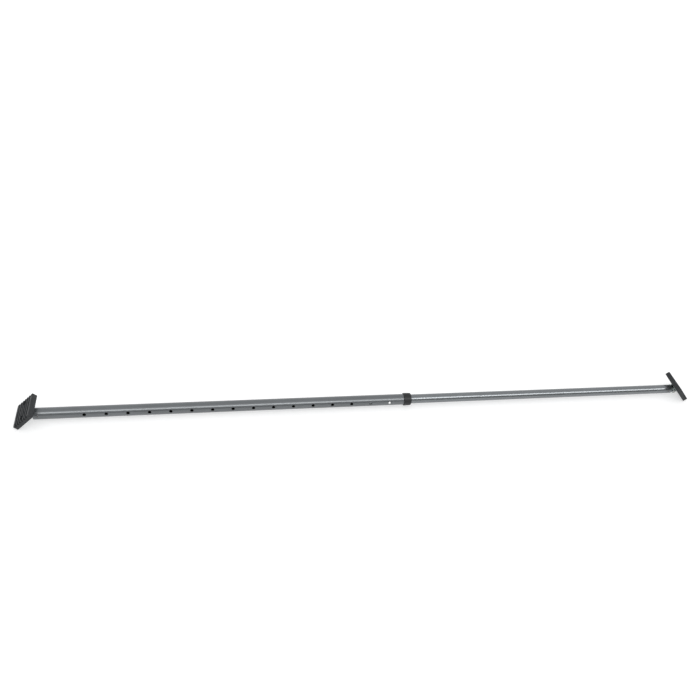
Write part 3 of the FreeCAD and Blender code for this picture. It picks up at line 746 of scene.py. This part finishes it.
def make_pivot_hardware(side):
    """The hex bolt, the lock nut with its nylon ring, and the two washers beside the tongue."""
    ear = EAR_GAP / 2 + EAR
    flip = Matrix.Rotation(math.pi, 4, "Z")
    shank = moved(threaded(BOLT_R, 0.0, BOLT_LENGTH, BOLT_PITCH, BOLT_PLAIN), turn=flip)
    bolt = joined(hex_blank(HEAD_HEIGHT), shank)
    piece(f"{side}_hex_bolt", moved(bolt, y=ear, turn=TO_Y), on_foot(side), finishes["fastener_zinc"],
          f"{side}_pivot_bolt")

    corner = HEX_ACROSS / 2 + 1.2
    crown = lathe([(-0.02, 0), (-0.02, corner), (CROWN_FOOT, corner), (CROWN_FOOT, 6.0), (3.75, 4.7),
                   (4.5, 4.55), (NUT_HEIGHT, 4.1), (NUT_HEIGHT, 0)], 96)
    nut = drilled(boolean(hex_blank(NUT_HEIGHT, both_ends=True), crown, "INTERSECT"), BOLT_R, 20)
    nut = boolean(nut, stack([(INSERT_START, circle(INSERT_R)), (NUT_HEIGHT + 1, circle(INSERT_R))]))
    piece(f"{side}_lock_nut", moved(nut, y=-ear, turn=OUTWARD), on_foot(side), finishes["fastener_zinc"],
          f"{side}_pivot_nut")
    inner, outer = BOLT_R + 0.02, INSERT_R - 0.01
    ring = lathe(filleted([(INSERT_START, inner, 0), (INSERT_START, outer, 0), (INSERT_END, outer, 0),
                           (INSERT_END, inner, 0.2)]), 48)
    piece(f"{side}_lock_nut_insert", moved(ring, y=-ear, turn=OUTWARD), on_foot(side),
          finishes["carrier_plastic"], body=body_of_node[f"{side}_pivot_nut"], slot="carrier_plastic")

    washers = []
    face = EAR_GAP / 2 - WASHER_PLAY
    for y in (-face, face - WASHER_THICKNESS):
        ring = lathe(filleted([(0, BOLT_R, 0.1), (0, WASHER_R, 0.2), (WASHER_THICKNESS, WASHER_R, 0.2),
                               (WASHER_THICKNESS, BOLT_R, 0.1)]), 64)
        washers.append(moved(ring, y=y, turn=TO_Y))
    piece(f"{side}_washers", joined(*washers), on_foot(side), finishes["fastener_zinc"],
          f"{side}_pivot_washers")


def make_pad(side):
    """A rubber pad with ribs on its face, a seat for the plate in its back and two screw recesses."""
    back, front = -PAD_BACK, -PAD_BACK - PAD_X
    half = PAD_Z / 2
    profile = [(back, half, 0), (back, -half, 0), (front, -half, 0)]
    first = -RIB_PITCH * (RIBS - 2) / 2
    floor = front + GROOVE_DEPTH
    for k in range(RIBS - 1):
        z = first + RIB_PITCH * k
        mouth, narrow = GROOVE_MOUTH / 2, GROOVE_FLOOR / 2
        profile += [(front, z - mouth, RIB_ROUND), (floor, z - narrow, GROOVE_ROUND),
                    (floor, z + narrow, GROOVE_ROUND), (front, z + mouth, RIB_ROUND)]
    outline = filleted(profile + [(front, half, 0)])
    ribbed = stack([(-PAD_Y / 2 - 1, outline), (PAD_Y / 2 + 1, outline)], "Y")

    def ring(inset):
        return rounded(PAD_Y - 2 * inset, PAD_Z - 2 * inset, PAD_CORNER - inset * 0.5, 8)

    levels = [(back + 0.01, ring(0.6)), (back - 0.18, ring(0.2)), (back - 0.6, ring(0.0)),
              (front + PAD_EDGE, ring(0.0))]
    for degrees in (22.5, 45.0, 67.5):
        a = math.radians(degrees)
        levels.append((front + PAD_EDGE * (1 - math.sin(a)), ring(PAD_EDGE * (1 - math.cos(a)))))
    levels.append((front - 0.01, ring(PAD_EDGE)))
    body = boolean(stack(levels), ribbed, "INTERSECT")
    around_plate = rounded(PLATE_Y + 0.4, PLATE_Z + 0.4, PLATE_CORNER + 0.2)
    body = boolean(body, stack([(back - PLATE_X, around_plate), (back + 1, around_plate)]))
    seat = front + RECESS_DEPTH
    for sign in (-1, 1):
        y = sign * SCREW_Y
        recess = lathe([(front - 1, 0), (front - 1, RECESS_R + 1.5), (front + 0.5, RECESS_R),
                        (seat - RECESS_EDGE, RECESS_R), (seat, RECESS_R - RECESS_EDGE), (seat, 0)], 64)
        body = boolean(body, moved(recess, y=y))
        body = drilled(body, SCREW_R, 40, x=back, y=y)
    piece(f"{side}_rubber_pad", body, on_foot(side), finishes["pad_rubber"], f"{side}_pad", smooth=38)


def pan_head():
    """A screw's pan head along +X, with a cross recess."""
    widest = math.sin(math.radians(PAN_ANGLE))
    dome = [(PAN_HEIGHT * (1 - (1 - math.cos(a)) * PAN_FALL), PAN_R * math.sin(a) / widest * 0.985)
            for a in (math.radians(PAN_ANGLE * k / 7) for k in range(8))]
    section = [(0, 0), (0, PAN_R - 0.15), (0.2, PAN_R), (PAN_WALL, PAN_R), *reversed(dome)]
    arm, tip = CROSS_ARM, CROSS_TIP
    cross = [(arm, arm), (tip, arm), (tip, -arm), (arm, -arm), (arm, -tip), (-arm, -tip),
             (-arm, -arm), (-tip, -arm), (-tip, arm), (-arm, arm), (-arm, tip), (arm, tip)]
    small = [(u * CROSS_TAPER, v * CROSS_TAPER) for u, v in cross]
    return boolean(lathe(section, 48), stack([(CROSS_FLOOR, small), (PAN_HEIGHT + 0.4, cross)]))


def make_screws(side):
    seat = -PAD_BACK - PAD_X + RECESS_DEPTH
    flip = Matrix.Rotation(math.pi, 4, "Z")
    screws = []
    for sign in (-1, 1):
        y = sign * SCREW_Y
        screws.append(moved(pan_head(), seat, y, turn=flip))
        shank = threaded(SCREW_R, 0.0, PAD_X - RECESS_DEPTH, SCREW_PITCH, SCREW_PLAIN)
        screws.append(moved(shank, seat, y))
    piece(f"{side}_pan_head_screws", joined(*screws), on_foot(side), finishes["screw_black"],
          f"{side}_pad_screws")


make_tubes()
make_collar()
button_x = make_button()
make_springs(button_x)
for foot in SIDES:
    make_plug(foot)
    make_bracket(foot)
    make_pivot_hardware(foot)
    make_pad(foot)
    make_screws(foot)

# nodes whose CAD shape is right keep it
for node, item in frame["nodes"].items():
    if not item.hide_render:
        item.data.materials.clear()
        item.data.materials.append(finishes[slots[node]])

# ---- floor, light and camera, in metres ----

FLOOR_GLOW, SKY, SKY_STRENGTH = 0.56, (0.985, 0.992, 1.0, 1), 0.92
FLAG_X, FLAG_Y, FLAG_LOW, FLAG_HIGH = 5.0, -2.6, 0.15, 1.75
LIGHT_PLACE, LIGHT_AIM = (0.6, -1.35, 1.76), (0.6, 0.0, 0.02)
LIGHT_X, LIGHT_Y, LIGHT_POWER = 5.2, 0.70, 57
CAMERA_PLACE, CAMERA_FORWARD = (-0.4612, -1.2493, 1.3685), (0.2032, 0.7153, -0.66862)
CAMERA_ROLL, CAMERA_LENS = 9.36, 36.8


def matt(name, dark, pale, **constants):
    """A dull, faintly cloudy grey for the studio."""
    made = Finish(name, Specular_IOR_Level=0.0, **constants)
    made.colour(made.ramp(made.noise(3, 2), (0.4, grey(dark)), (0.6, grey(pale))))
    return made


def make_floor():
    bm = bmesh.new()
    bmesh.ops.create_grid(bm, x_segments=8, y_segments=8, size=40)
    floor = in_scene("studio_floor", bm)
    made = matt("floor_white", 0.66, 0.67, Emission_Color=(1, 1, 1, 1), Emission_Strength=FLOOR_GLOW)
    made.roughness(made.between(made.noise(8, 2), 0.9, 1.0))
    floor.data.materials.append(made.material)


def make_flag():
    """A dark card low down in front, hidden from the camera, that gives the glossy tubes their dark line."""
    bm = bmesh.new()
    corners = [(-FLAG_X, FLAG_LOW), (FLAG_X, FLAG_LOW), (FLAG_X, FLAG_HIGH), (-FLAG_X, FLAG_HIGH)]
    bm.faces.new([bm.verts.new((x, FLAG_Y, z)) for x, z in corners])
    flag = in_scene("studio_flag", bm)
    flag.data.materials.append(matt("flag_grey", 0.22, 0.24).material)
    flag.visible_camera = False


def make_world():
    world = bpy.data.worlds.new("studio")
    world.use_nodes = True
    background = world.node_tree.nodes["Background"]
    background.inputs["Color"].default_value = SKY
    background.inputs["Strength"].default_value = SKY_STRENGTH
    bpy.context.scene.world = world


def make_light():
    """A long strip over the front of the bar that shows only in its gloss."""
    data = bpy.data.lights.new("strip", "AREA")
    data.shape, data.size, data.size_y, data.energy = "RECTANGLE", LIGHT_X, LIGHT_Y, LIGHT_POWER
    item = bpy.data.objects.new("strip", data)
    bpy.context.scene.collection.objects.link(item)
    back = (Vector(LIGHT_PLACE) - Vector(LIGHT_AIM)).normalized()
    up = back.cross(Vector((1, 0, 0))).normalized()
    right = up.cross(back)
    item.matrix_world = Matrix.Translation(LIGHT_PLACE) @ Matrix((right, up, back)).transposed().to_4x4()
    item.visible_camera = False
    item.visible_diffuse = False


def make_camera():
    data = bpy.data.cameras.new("camera")
    data.sensor_width, data.lens = 36.0, CAMERA_LENS
    data.clip_start, data.clip_end = 0.05, 200
    item = bpy.data.objects.new("camera", data)
    bpy.context.scene.collection.objects.link(item)
    forward = Vector(CAMERA_FORWARD).normalized()
    level = forward.cross(Vector((0, 0, 1))).normalized()
    upright = level.cross(forward)
    roll = math.radians(CAMERA_ROLL)
    right = level * math.cos(roll) + upright * math.sin(roll)
    up = right.cross(forward)
    axes = Matrix((right, up, -forward)).transposed().to_4x4()
    item.matrix_world = Matrix.Translation(CAMERA_PLACE) @ axes
    bpy.context.scene.camera = item


make_floor()
make_flag()
make_world()
make_light()
make_camera()
bpy.context.scene.view_settings.view_transform = "Standard"
